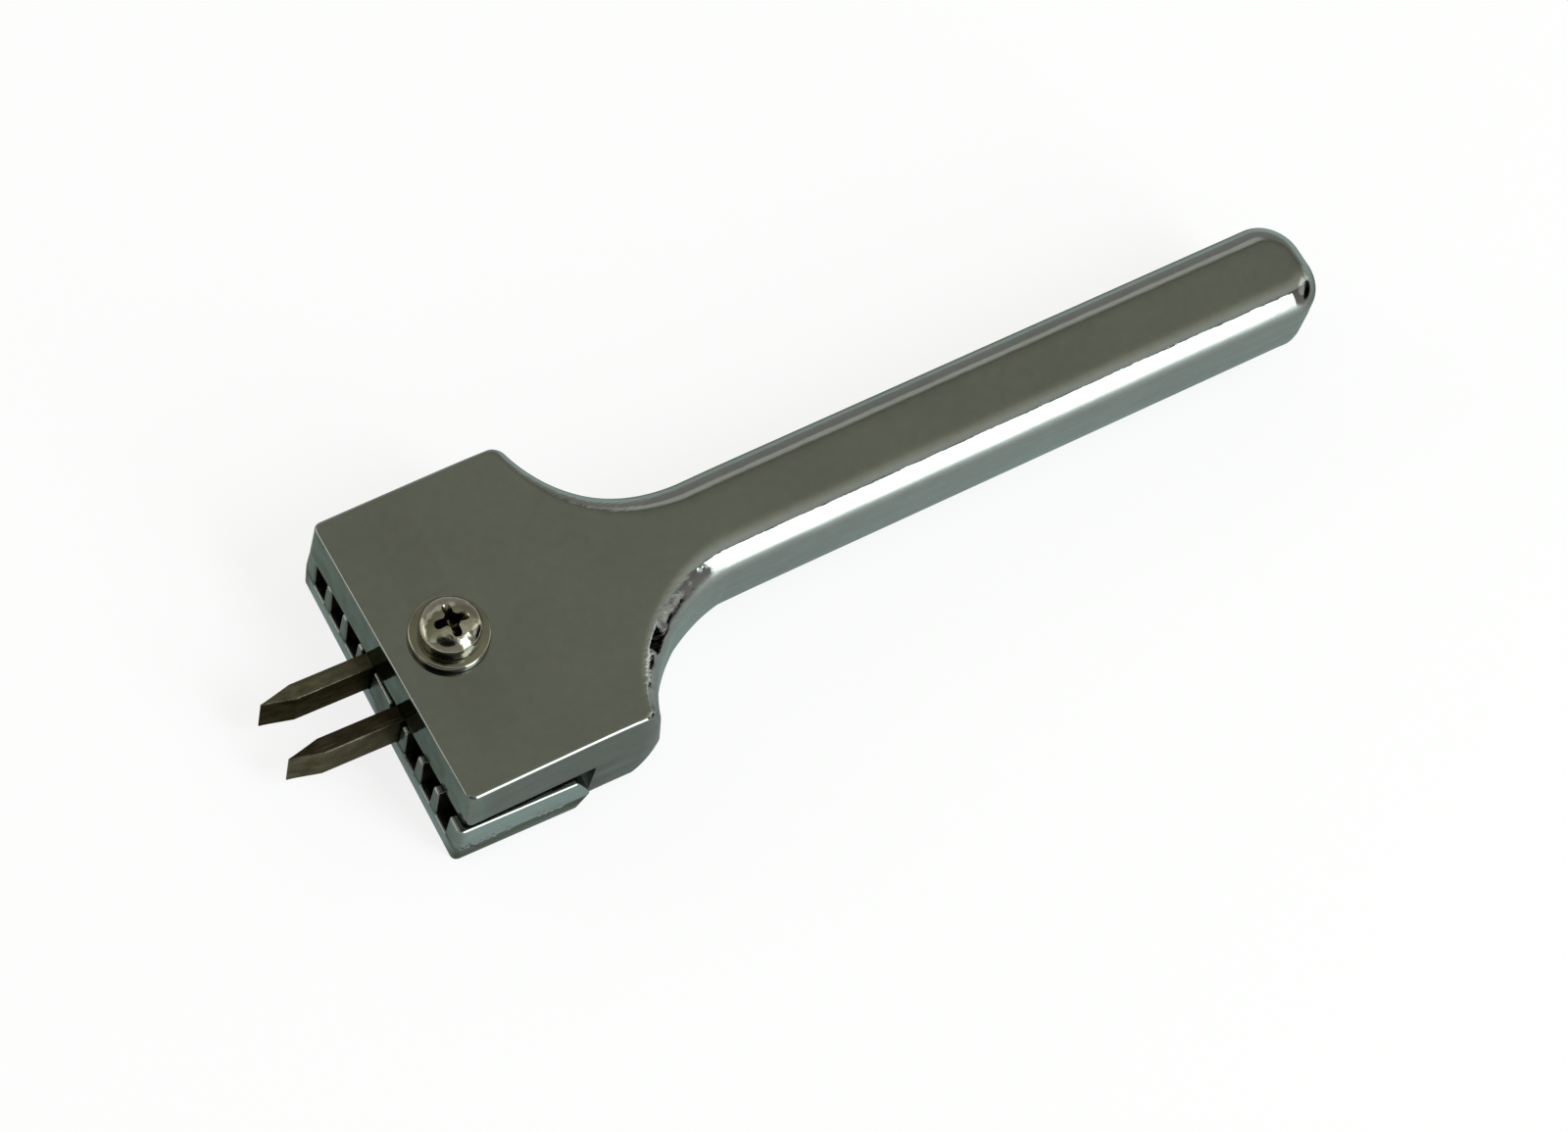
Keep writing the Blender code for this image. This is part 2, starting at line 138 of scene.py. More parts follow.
def handle_stretch(d, edge, under):
    """The handle's straight side, a quarter circle round the butt, and in to the middle of its end. The
    butt's roundings go over from the handle's to its own, and the butt is a little fuller lower down."""
    handle_x = np.linspace(SHOULDER_X, BUTT_X - BUTT_R, 18)[1:] + 0.0 * d
    handle_y = HANDLE_HALF - edge - under + 0.0 * handle_x
    turn = np.radians(np.linspace(90.0, 0.0, 19))[1:]
    upper, lower = np.cos(turn) ** 2, np.cos(turn)
    drawn = eased(d, EDGE_WIDE + BUTT_EDGE_WIDER * upper, EDGE_DEEP + BUTT_EDGE_DEEPER * upper)
    drawn = drawn + eased(BODY_DEPTH - d, UNDER_WIDE + BUTT_UNDER_WIDER * lower,
                          UNDER_DEEP + BUTT_UNDER_DEEPER * lower)
    radius = BUTT_R - BUTT_FULLER * np.clip(d / BUTT_FULL_DEPTH, 0.0, 1.0)
    butt_x = BUTT_X - radius + (radius - drawn) * np.cos(turn)
    butt_y = HANDLE_HALF - radius + (radius - drawn) * np.sin(turn)
    end_x = butt_x[:, -1:] + 0.0 * ACROSS[:2]
    end_y = butt_y[:, -1:] * ACROSS[1::-1]
    return joined([handle_x, butt_x, end_x], [handle_y, butt_y, end_y])


def casting_rings(depth, ground):
    """The casting's half outline at each depth below its top: a row of points from the middle of the
    jaw's front, along jaw, head, shoulder and handle, to the middle of the butt. Every stretch is a
    line or an arc, drawn in where an edge is rounded. A ground casting has its shoulder ground."""
    d = depth[:, None]
    half = HEAD_HALF - HEAD_DRAFT * np.abs(2.0 * d / BODY_DEPTH - 1.0)
    head = eased(d, HEAD_EDGE, HEAD_EDGE) + eased(BODY_DEPTH - d, HEAD_EDGE, HEAD_EDGE)
    edge, under = eased(d, EDGE_WIDE, EDGE_DEEP), eased(BODY_DEPTH - d, UNDER_WIDE, UNDER_DEEP)
    ring = np.concatenate([jaw_stretch(d, half, head),
                           shoulder_stretch(d, half, head, edge, under, ground),
                           handle_stretch(d, edge, under)], axis=1)
    return np.concatenate([ring, (head_top - d)[..., None] + 0.0 * ring[..., :1]], axis=2)


def patch(points):
    """Quads over a grid of points, as their corners: each point with its next ones both ways."""
    corners = [points[:-1, :-1], points[1:, :-1], points[1:, 1:], points[:-1, 1:]]
    return np.stack(corners, axis=2).reshape(-1, 4, 3)


def filled(ring, bored, last=ACROSS[1]):
    """A flat face inside half an outline: lines from the middle plane, or from the bore, out to it."""
    inner = np.sqrt(np.clip(HOLE_R ** 2 - (ring[:, 0] - SCREW_X) ** 2, 0.0, None)) * bored
    share = np.repeat(ACROSS[:, None], len(ring), axis=1)
    share[1, -1] = last
    y = inner + (ring[:, 1] - inner) * share
    return patch(np.stack([ring[:, 0] + 0.0 * y, y, ring[:, 2] + 0.0 * y], 2))


def solid(name, quads, place, turn=0.0):
    """One closed skin from loose quads: corners that meet become one point, and a quad that has two
    corners in one becomes a triangle. The skin is turned about Z and set down at its place."""
    corners = quads.reshape(-1, 3)
    key = np.round(corners / WELD).astype(np.int64)
    _, first, index = np.unique(key, axis=0, return_index=True, return_inverse=True)
    faces = index.reshape(-1, 4)
    kept = faces != np.roll(faces, -1, axis=1)
    whole = faces[kept.all(axis=1)]
    three = kept.sum(axis=1) == 3
    thirds = faces[three][kept[three]].reshape(-1, 3)
    c, s = math.cos(turn), math.sin(turn)
    points = corners[first] @ np.array([[c, s, 0.0], [-s, c, 0.0], [0.0, 0.0, 1.0]]) + place
    mesh = bpy.data.meshes.new(name)
    mesh.from_pydata(points * MM, [], whole.tolist() + thirds.tolist())
    bm = bmesh.new()
    bm.from_mesh(mesh)
    bmesh.ops.recalc_face_normals(bm, faces=bm.faces)
    bm.to_mesh(mesh)
    bm.free()
    mesh.shade_smooth()
    mesh.set_sharp_from_angle(angle=SHARP)
    piece = bpy.data.objects.new(name, mesh)
    bpy.context.scene.collection.objects.link(piece)
    return piece


def mirrored(quads):
    """The same quads on the other side of the middle plane, turned round to face outwards."""
    return (quads * [1.0, -1.0, 1.0])[:, ::-1]


def both_sides(quads):
    """The quads of one half together with those of the other."""
    return np.concatenate([quads, mirrored(quads)])


step = np.radians(np.linspace(0.0, 90.0, 9))
fine = np.radians(np.arange(35.0, 91.0, 5.0))
upper_depth = np.concatenate([HEAD_EDGE * (1.0 - np.cos(step)), EDGE_DEEP * (1.0 - np.cos(fine)),
                              [3.0, 3.2, 3.45, 3.7, 4.2, 5.0, 6.0, 6.4],
                              JAW_DEPTH - JAW_EDGE * (1.0 - np.sin(step[::2]))])
lower_depth = np.concatenate([[JAW_DEPTH, 0.5 * BODY_DEPTH, 8.6],
                              BODY_DEPTH - UNDER_DEEP * (1.0 - np.sin(step)),
                              BODY_DEPTH - UNDER_DEEP * (1.0 - np.cos(np.radians([6.0, 3.0])))])
lower_depth = np.unique(np.round(lower_depth, 6))


def half_casting(ground):
    """Half of the casting's skin: its outlines joined by depth, the flat faces at the top, under the jaw
    and at the bottom, the wall behind the recess, and the screw's hole."""
    upper, lower = casting_rings(upper_depth, ground), casting_rings(lower_depth, ground)
    hole_start = FRONT_POINTS + CORNER_POINTS + len(BEFORE_HOLE)
    jaw_end = hole_start + HOLE_POINTS + len(BEHIND_HOLE)
    butt_end = upper.shape[1] - 2
    bore = upper[0, hole_start:hole_start + HOLE_POINTS, 0]
    bore_y = np.sqrt(np.clip(HOLE_R ** 2 - (bore - SCREW_X) ** 2, 0.0, None))
    bore_z = head_top - np.array([0.0, JAW_DEPTH])[:, None] + 0.0 * bore
    step_wall = lower[:, jaw_end, None] * np.stack([0.0 * ACROSS + 1.0, ACROSS, 0.0 * ACROSS + 1.0], 1)
    return np.concatenate([
        patch(upper),
        patch(lower[:, jaw_end:]),
        filled(upper[0, FRONT_POINTS:butt_end], 1.0),
        filled(upper[-1, FRONT_POINTS:jaw_end], 1.0, 1.0),
        filled(lower[-1, jaw_end:butt_end], 0.0),
        patch(step_wall),
        patch(np.stack([bore + 0.0 * bore_z, bore_y + 0.0 * bore_z, bore_z], 2)),
    ])


# The near half is the ground one. The recess's wall is out of square towards it, and the shoulders
# aren't quite alike: both lie a little nearer, the near one further back, the far one further forward.
OUT_OF_SQUARE = 0.5
HOLLOW_X, HOLLOW_LONG, LOP_ALONG, LOP_ACROSS, LOP_REACH = 31.0, 7.0, 0.25, 0.40, 8.0
skin = np.concatenate([half_casting(0.0), mirrored(half_casting(1.0))])
near = np.clip(-skin[..., 1] / HEAD_HALF, 0.0, 1.0)
skin[..., 0] -= OUT_OF_SQUARE * near * np.isclose(skin[..., 0], RECESS_X)
lop = np.exp(-((skin[..., 0] - HOLLOW_X) / HOLLOW_LONG) ** 2)
nearer = np.clip(-skin[..., 1] / LOP_REACH, -1.0, 1.0)
skin += np.stack([LOP_ALONG * lop * nearer, -LOP_ACROSS * lop, 0.0 * lop], axis=-1)
casting = solid("cast_head_and_handle", skin, (jaw_front, 0.0, 0.0))
even = casting.modifiers.new("even_flats", "WEIGHTED_NORMAL")
even.keep_sharp = True


def points_of(piece):
    """A piece's points, in millimetres, and its normals there."""
    mesh = piece.data
    point, normal = np.empty(3 * len(mesh.vertices)), np.empty(3 * len(mesh.vertices))
    mesh.vertices.foreach_get("co", point)
    mesh.vertices.foreach_get("normal", normal)
    return point.reshape(-1, 3) / MM, normal.reshape(-1, 3)


def slopes(level):
    """How far the skin counts as rounded and as steep, from its normal's share of upright."""
    return np.clip((0.998 - level) / 0.03, 0.0, 1.0), np.clip((0.80 - level) / 0.25, 0.0, 1.0)


def keep_notes(piece, **notes):
    """Store one number for each point under each note's name, for the piece's material to read."""
    for name, value in notes.items():
        piece.data.attributes.new(name, "FLOAT", "POINT").data.foreach_set("value", value)


def feed(tree, node, inputs):
    """Give each named or numbered input of a node the output of another one, or a plain value."""
    for key, value in inputs.items():
        socket = node.inputs[key]
        if isinstance(value, bpy.types.NodeSocket):
            tree.links.new(value, socket)
        else:
            socket.default_value = (*value, 1.0) if socket.type == "RGBA" else value


def add(tree, kind, inputs, **settings):
    """A new shader node of a kind, with its settings and its inputs."""
    node = tree.nodes.new("ShaderNode" + kind)
    for name, value in settings.items():
        setattr(node, name, value)
    feed(tree, node, inputs)
    return node


def maths(tree, operation, first, second):
    """Two numbers put together by one operation."""
    return add(tree, "Math", {0: first, 1: second}, operation=operation).outputs["Value"]


def ramp(tree, value, low, high, first, last, **settings):
    """A number that goes from first to last while the value goes from low to high, and no further."""
    inputs = {"Value": value, "From Min": low, "From Max": high, "To Min": first, "To Max": last}
    return add(tree, "MapRange", inputs, **settings).outputs["Result"]


def mixed(tree, share, first, second, blend="MIX"):
    """The first colour with a share of the second, mixed in or laid over it."""
    inputs = {"Factor": share, "A": first, "B": second}
    return add(tree, "Mix", inputs, data_type="RGBA", blend_type=blend).outputs["Result"]


def noise(tree, where, scale, detail):
    """Cloudy noise, so fine and so detailed."""
    return add(tree, "TexNoise", {"Vector": where, "Scale": scale, "Detail": detail}).outputs["Fac"]


def noted(tree, name):
    """What keep_notes stored on the piece under this name, or nothing."""
    return add(tree, "Attribute", {}, attribute_name=name).outputs["Fac"]


def relief(tree, *layers):
    """Bumps laid one on another, each a height and the distance that it stands for."""
    inputs = {}
    for height, distance in layers:
        bump = add(tree, "Bump", {"Height": height, "Distance": distance, **inputs})
        inputs = {"Normal": bump.outputs["Normal"]}
    return bump.outputs["Normal"]


def metal(name):
    """A new material of bare metal, with its node tree, its shader and its place on the piece."""
    material = bpy.data.materials.new(name)
    material.use_nodes = True
    tree = material.node_tree
    shader = tree.nodes["Principled BSDF"]
    shader.inputs["Metallic"].default_value = 1.0
    return material, tree, shader, add(tree, "TexCoord", {}).outputs["Object"]


# The plating's colour and edge tint, then the grey tone of the painted shade, which darkens both where it
# is noted.
PLATING, PLATING_EDGE = (0.214, 0.222, 0.212), (0.675, 0.87, 0.86)
SHADE_TONE, SHADE_EDGE_TONE = (0.40, 0.39, 0.36), (0.66, 0.555, 0.50)
POLISH_WAVE = 4.0e-5


def bright_plating(name, roughness, pits):
    """Plated metal: cloudy in colour, and darkened by painted shade where it is noted: a grey tone laid
    over the colour and the edge tint in drawn-out patches, for darker reflections. The polish is uneven,
    and much rougher in drawn-out patches where the skin is noted as steep. The bump has slow waves,
    fine grain and drawn-out lines from hand polishing where the skin is noted as rounded, chatter
    marks where they are noted, and the casting's fine skin and a few pits, so deep, all over."""
    material, tree, shader, place = metal(name)
    drawn = add(tree, "Mapping", {"Vector": place, "Scale": (0.12, 1.0, 1.0)}).outputs["Vector"]
    rounded, steep, chatter = (noted(tree, note) for note in ("rounded", "steep", "chatter"))

    def centred(where, scale, detail, share):
        height = ramp(tree, noise(tree, where, scale, detail), 0.0, 1.0, -0.5, 0.5)
        return maths(tree, "MULTIPLY", height, share)

    cloud = ramp(tree, noise(tree, place, 700.0, 4.0), 0.0, 1.0, -0.4, 0.4)
    cloud = ramp(tree, maths(tree, "ADD", noise(tree, place, 80.0, 3.0), cloud), 0.3, 0.7, 0.0, 1.0)
    tint = mixed(tree, cloud, tuple(0.95 * c for c in PLATING), tuple(1.05 * c for c in PLATING))
    patches = ramp(tree, noise(tree, drawn, 420.0, 3.0), 0.25, 0.65, 0.7, 1.0)
    # Painted shade: the noted share, laid in drawn-out patches.
    shade_cover = maths(tree, "MULTIPLY", noted(tree, "film"), patches)
    polish = ramp(tree, noise(tree, place, 260.0, 4.0), 0.3, 0.7, 0.7 * roughness, 1.35 * roughness)
    rougher = ramp(tree, noise(tree, drawn, 520.0, 4.0), 0.3, 0.7, 0.40, 0.62)
    grain = maths(tree, "MULTIPLY", noise(tree, place, 1400.0, 3.0), rounded)
    feed(tree, shader, {
        "Base Color": mixed(tree, shade_cover, tint, SHADE_TONE, "MULTIPLY"),
        "Specular Tint": mixed(tree, shade_cover, PLATING_EDGE, SHADE_EDGE_TONE, "MULTIPLY"),
        "Roughness": maths(tree, "ADD", polish, maths(tree, "MULTIPLY", steep, rougher)),
        "Normal": relief(tree,
                         (centred(place, 320.0, 2.5, rounded), POLISH_WAVE),
                         (grain, 0.035 * POLISH_WAVE),
                         (centred(place, 1300.0, 2.0, chatter), 0.7 * POLISH_WAVE),
                         (centred(drawn, 2500.0, 3.0, rounded), 0.45 * POLISH_WAVE),
                         (noise(tree, place, 900.0, 4.0), 0.02 * POLISH_WAVE),
                         (ramp(tree, noise(tree, place, 1500.0, 2.0), 0.68, 0.78, 1.0, 0.0), pits)),
    })
    return material


# The painted shade lies on the jaw's front, on the head's sides and, heavier towards their rims, on the
# handle's far side and its butt, darkening the metal's reflections there.
FRONT_SHADE, HEAD_SHADE, FAR_SHADE, FAR_RIM_SHADE = 0.74, 0.58, 0.4, 0.5
HEAD_SHADE_END, BUTT_START = 26.0, 100.0
HANDLE_WAVES, HOLLOW_WAVES = 0.5, 2.2
point, normal = points_of(casting)
level, along = np.abs(normal[:, 2]), point[:, 0] - jaw_front
hollow = np.exp(-((along - HOLLOW_X) / HOLLOW_LONG) ** 2) * (np.abs(point[:, 1]) > 5.0)
rounded, steep = slopes(level)
film = HEAD_SHADE * np.clip((HEAD_SHADE_END - along) / 3.0, 0.0, 1.0)
film = np.where(normal[:, 0] < -0.7, FRONT_SHADE, film)
outward = np.clip(np.maximum(normal[:, 1], normal[:, 0] * (along > BUTT_START)), 0.0, 1.0)
rim = np.clip((level - 0.15) / 0.2, 0.0, 1.0)
film = np.maximum(film, outward * (FAR_SHADE + FAR_RIM_SHADE * rim))
keep_notes(casting, rounded=rounded * (HANDLE_WAVES + HOLLOW_WAVES * hollow), chatter=rounded * hollow,
           steep=steep * np.clip((along - 1.0) / 2.0, 0.0, 1.0), film=steep * film)
casting.data.materials.append(bright_plating("bright_plating", roughness=0.05, pits=1.5e-6))
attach(casting, "casting")
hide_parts("head_and_handle")

# The clamp plate: a second casting in the same plating, the lower jaw. Eight slots open at its top
# and at both ends take the prongs, and the screw is tapped into the land between the middle two.
# It has a parting line along its sides and a cut-back rear, and sits a little askew under the head.
SKEW = math.radians(-1.65)
screw_at = (jaw_front + SCREW_X, 0.0, 0.0)
PLATE_FRONT, PLATE_REAR, PLATE_HALF = -7.8, 8.9, 19.904
SLOT_FLOOR, PARTING, PLATE_TOP = 2.7, 3.8, 8.25
FIRST_SLOT, SLOT_PITCH, SLOT_HALF, SLOT_DRAFT = 3.652, 4.05, 1.2, math.radians(2.6)
SIDE_IN_BELOW, SIDE_IN_ABOVE, REAR_IN_BELOW, REAR_IN_ABOVE = 0.25, 0.10, 1.2, 1.9
FLASH_AT = np.array([-6.1, -5.3, -4.6, -3.8, -3.0, -1.2, 2.7, 3.5, 4.3, 5.1])
FLASH_OUT, FLASH_LONG, FLASH_TALL, FLASH_BAND, CAP_BAND = 0.28, 0.42, 0.30, 0.6, 0.6
FORWARD_STATIONS, REAR_STATIONS, SIDE_COLUMN = 19, 15, 9


def plate_grid():
    """The plate as a block of points, by station along it, height and column across half of it. The
    columns are the bore, the two walls of each slot and the plate's side; each wall leans with the
    slot's draft, the side draws in above and below the parting line, the rear leans, and broken beads
    of flash stand along the line, each of them a tent over its own spot."""
    height = np.concatenate([[0.0, SLOT_FLOOR], PARTING + np.linspace(-FLASH_BAND, FLASH_BAND, 13),
                             [PLATE_TOP - CAP_BAND, PLATE_TOP]])[None, :, None]
    bore_x = -HOLE_R * np.cos(np.linspace(0.0, math.pi, HOLE_POINTS))
    station = np.concatenate([[PLATE_FRONT], np.linspace(-6.5, -2.3, FORWARD_STATIONS), bore_x,
                              np.linspace(2.3, 5.6, REAR_STATIONS), [PLATE_REAR]])[:, None, None]
    lean = np.clip(height - SLOT_FLOOR, 0.0, None) * math.tan(SLOT_DRAFT) + SLOT_HALF
    middle = FIRST_SLOT + SLOT_PITCH * np.arange(4)
    walls = np.stack([middle - lean[0], middle + lean[0]], axis=2).reshape(-1, 8)[None]
    below = np.clip(1.0 - height / PARTING, 0.0, 1.0)
    above = np.clip((height - PARTING) / (PLATE_TOP - PARTING), 0.0, 1.0)
    beads = np.clip(1.0 - np.abs(station - FLASH_AT) / FLASH_LONG, 0.0, 1.0).sum(axis=2, keepdims=True)
    off = np.abs(height - PARTING - 0.2 * np.sin(0.6 * station + 1.0))
    flash = FLASH_OUT * beads * np.clip(1.0 - off / FLASH_TALL, 0.0, 1.0)
    side = PLATE_HALF - SIDE_IN_BELOW * below - SIDE_IN_ABOVE * above + flash
    inner = np.sqrt(np.clip(HOLE_R ** 2 - station ** 2, 0.0, None))
    blank = 0.0 * (station + height)
    y = np.concatenate([inner + blank, walls + blank, side], axis=2)
    rear = PLATE_REAR - REAR_IN_BELOW * below - REAR_IN_ABOVE * above
    x = np.where(station == PLATE_REAR, rear, station) + 0.0 * y
    return np.stack([x, y, height + 0.0 * y], axis=3)


def soft_edges(piece, width, segments, weigh):
    """Round a piece's sharp edges by their weight, which is worked out from how far the faces bend
    there and from where the edge's two ends are."""
    mesh = piece.data
    edge = np.empty(len(mesh.loops), int)
    mesh.loops.foreach_get("edge_index", edge)
    sides = np.empty(len(mesh.polygons), int)
    mesh.polygons.foreach_get("loop_total", sides)
    normal = np.empty(3 * len(mesh.polygons))
    mesh.polygons.foreach_get("normal", normal)
    face = np.repeat(np.arange(len(sides)), sides)[np.argsort(edge, kind="stable")].reshape(-1, 2)
    normal = normal.reshape(-1, 3)[face]
    bend = np.degrees(np.arccos(np.clip((normal[:, 0] * normal[:, 1]).sum(1), -1.0, 1.0)))
    point = np.empty(3 * len(mesh.vertices))
    mesh.vertices.foreach_get("co", point)
    ends = np.empty(2 * len(mesh.edges), int)
    mesh.edges.foreach_get("vertices", ends)
    weight = weigh(bend, point.reshape(-1, 3)[ends.reshape(-1, 2)] / MM)
    mesh.attributes.new("bevel_weight_edge", "FLOAT", "EDGE").data.foreach_set("value", weight)
    mesh.set_sharp_from_angle(angle=math.radians(180.0))
    rounding = piece.modifiers.new("soft_edges", "BEVEL")
    rounding.width = width * MM
    rounding.segments = segments
    rounding.limit_method = "WEIGHT"
    rounding.use_clamp_overlap = False
    rounding.harden_normals = True


def plate_weight(bend, ends):
    """Upright front corners are rounded full, the tops of the ribs not quite half as much, other sharp
    edges a little less than those, the bore's edges and the beads of flash not at all."""
    x, y = (ends - screw_at)[..., 0], np.abs((ends - screw_at)[..., 1])
    run = np.abs(ends[:, 0] - ends[:, 1])
    upright = run[:, 2] > 2.0 * np.hypot(run[:, 0], run[:, 1])
    corner = upright & (y.min(1) > 18.5) & (x.max(1) < -6.0)
    bead = np.abs(ends[..., 2] - PARTING).max(1) < FLASH_BAND + 0.05
    bead &= (y.min(1) > 19.0) & (x.max(1) > -6.6) & (x.min(1) < 7.4)
    cap = (ends[..., 2].min(1) > PLATE_TOP - 0.01) & (y.max(1) > 4.8)
    bore_edge = np.hypot(x, y).max(1) < 3.2
    weight = np.where(corner, 1.0, np.where(cap, 0.42, 0.3))
    return np.where(bore_edge | bead | (bend < 25.0), 0.0, weight)


# The skin takes the block's outer faces, the ribs' tops, and the slots' floors and walls. The plate
# isn't true: it is longer at the near side, leans in at the far one, and its near rear corner is sunk.
NEAR_LONGER, FAR_IN, SUNK, SUNK_FROM, SUNK_OVER = 0.45, 0.35, 0.35, 5.0, 15.0
PLATE_FRONT_SHADE, PLATE_STEEP = 0.75, 0.5
grid = plate_grid()
bore_rows = slice(1 + FORWARD_STATIONS, 1 + FORWARD_STATIONS + HOLE_POINTS)
lands, slots = range(0, SIDE_COLUMN + 1, 2), range(1, SIDE_COLUMN, 2)
skin = [patch(grid[:, 0]), patch(grid[:, :, SIDE_COLUMN]), patch(grid[bore_rows, :, 0])]
skin += [patch(grid[:, -1, land:land + 2]) for land in lands]
skin += [patch(grid[:, 1, slot:slot + 2]) for slot in slots]
skin += [patch(grid[:, 1:, wall]) for wall in range(1, SIDE_COLUMN)]
for end in (grid[0], grid[-1]):
    skin += [patch(end[:2])] + [patch(end[1:, land:land + 2]) for land in lands]
skin = both_sides(np.concatenate(skin))
near = np.clip(-skin[..., 1] / PLATE_HALF, 0.0, 1.0)
raised = np.clip((skin[..., 2] - PARTING) / (PLATE_TOP - PARTING), 0.0, 1.0)
skin[..., 0] += NEAR_LONGER * near * (skin[..., 0] > 5.0)
skin[..., 1] -= FAR_IN * (skin[..., 1] > 19.0) * raised
sunk = near * np.clip((skin[..., 0] - PLATE_FRONT) / SUNK_OVER, 0.0, 1.0)
skin[..., 2] -= SUNK * sunk * np.clip((skin[..., 2] - SUNK_FROM) / (PLATE_TOP - SUNK_FROM), 0.0, 1.0)
plate = solid("slotted_clamp_plate", skin, screw_at, SKEW)
soft_edges(plate, width=1.0, segments=4, weigh=plate_weight)
point, normal = points_of(plate)
level = np.abs(normal[:, 2])
rounded, steep = slopes(level)
# Painted shade: the plate's front faces and its sides below the parting line are darkened, for darker
# reflections of the table there.
front = np.clip(-PLATE_FRONT_SHADE * normal[:, 0], 0.0, 1.0) * (level < 0.3)
shaded_low_side = np.clip((PARTING - 0.05 - point[:, 2]) / 0.2, 0.0, 1.0) * (np.abs(normal[:, 1]) > 0.5)
keep_notes(plate, rounded=rounded, chatter=0.0 * level, steep=PLATE_STEEP * steep,
           film=np.maximum(front, shaded_low_side))
plate.data.materials.append(bright_plating("plate_plating", roughness=0.07, pits=4.0e-6))
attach(plate, "plate")
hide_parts("clamp_plate")

# The prongs: two bars of hardened steel, ground on both sides to an upright chisel edge and left
# dark from the heat treatment. They lie in the slots on each side of the screw, gripped by the jaw.
PRONG_HALF, PRONG_HEIGHT, PRONG_LENGTH, PRONG_BEVEL, TIP_HALF = 1.05, 5.8, 30.1, 4.0, 0.08
PRONG_CORNER = 0.22


def prong_grid():
    """A rounded rectangle carried along the bar, as half its points by station: its width falls in a
    straight line to the chisel edge over the ground length, and its corner radius falls with it."""
    along = np.array([0.0, 0.02, 0.06, 0.12, 0.3, 0.6, 0.9, 0.97, 1.0, 1.03, 1.1]) * PRONG_BEVEL
    along = np.concatenate([along, np.linspace(6.0, PRONG_LENGTH - 0.3, 12), [PRONG_LENGTH]])[:, None]
    half = np.clip(TIP_HALF + (PRONG_HALF - TIP_HALF) * along / PRONG_BEVEL, None, PRONG_HALF)
    radius = np.minimum(PRONG_CORNER, 0.8 * half)
    turn = np.radians(np.linspace(0.0, 90.0, 6))
    y = np.concatenate([half - radius + radius * np.sin(turn), half - radius + radius * np.cos(turn)], 1)
    rise = [radius * (1.0 - np.cos(turn)), PRONG_HEIGHT - radius * (1.0 - np.sin(turn))]
    y = np.concatenate([0.0 * half, y, 0.0 * half], axis=1)
    rise = np.concatenate([0.0 * half, *rise, 0.0 * half + PRONG_HEIGHT], axis=1)
    return np.stack([PLATE_REAR - PRONG_LENGTH + along + 0.0 * y, y, rise + SLOT_FLOOR + SEAT_GAP], axis=2)


STEEL_EDGE, BARE_STEEL = (0.50, 0.49, 0.44), (0.088, 0.080, 0.060)


def dark_steel(name, top, side):
    """Heat-darkened steel: scale in patches between a dark and a light tone, one pair on the top and one
    on the sides, where the side pair is painted lighter or darker than the top for how light falls on
    that prong's sides, long grinding lines, and barer metal along the edges that are noted as worn."""
    material, tree, shader, place = metal(name)
    place = add(tree, "Mapping", {"Vector": place, "Rotation": (0.0, 0.0, -SKEW)}).outputs["Vector"]

    def grain(stretch, detail):
        spread = add(tree, "VectorMath", {0: place, 1: stretch}, operation="MULTIPLY")
        return noise(tree, spread.outputs["Vector"], 1.0, detail)

    patchy = ramp(tree, grain((420.0, 900.0, 700.0), 6.0), 0.34, 0.66, 0.0, 1.0)
    scale = mixed(tree, noted(tree, "upright"), mixed(tree, patchy, *top), mixed(tree, patchy, *side))
    streak = ramp(tree, grain((260.0, 6500.0, 4200.0), 3.0), 0.62, 0.74, 0.0, 0.45)
    scale = mixed(tree, streak, scale, tuple(0.9 * (t + u) for t, u in zip(top[1], side[1])))
    rubbed = ramp(tree, grain((700.0, 900.0, 900.0), 4.0), 0.44, 0.66, 0.05, 0.8)
    bare = maths(tree, "MULTIPLY", noted(tree, "worn"), rubbed)
    feed(tree, shader, {
        "Base Color": mixed(tree, bare, scale, BARE_STEEL),
        "Specular Tint": STEEL_EDGE,
        "Roughness": ramp(tree, grain((500.0, 1500.0, 1200.0), 4.0), 0.3, 0.7, 0.30, 0.50),
        "Normal": relief(tree, (grain((160.0, 5200.0, 3600.0), 3.0), 2.5e-5),
                         (grain((2600.0, 2600.0, 2600.0), 3.0), 2.0e-5)),
    })
    return material


half_bar = prong_grid()
ends = [patch(np.stack([half_bar[end] * [1.0, 0.0, 1.0], half_bar[end]])) for end in (0, -1)]
bar = both_sides(np.concatenate([patch(half_bar)] + ends))
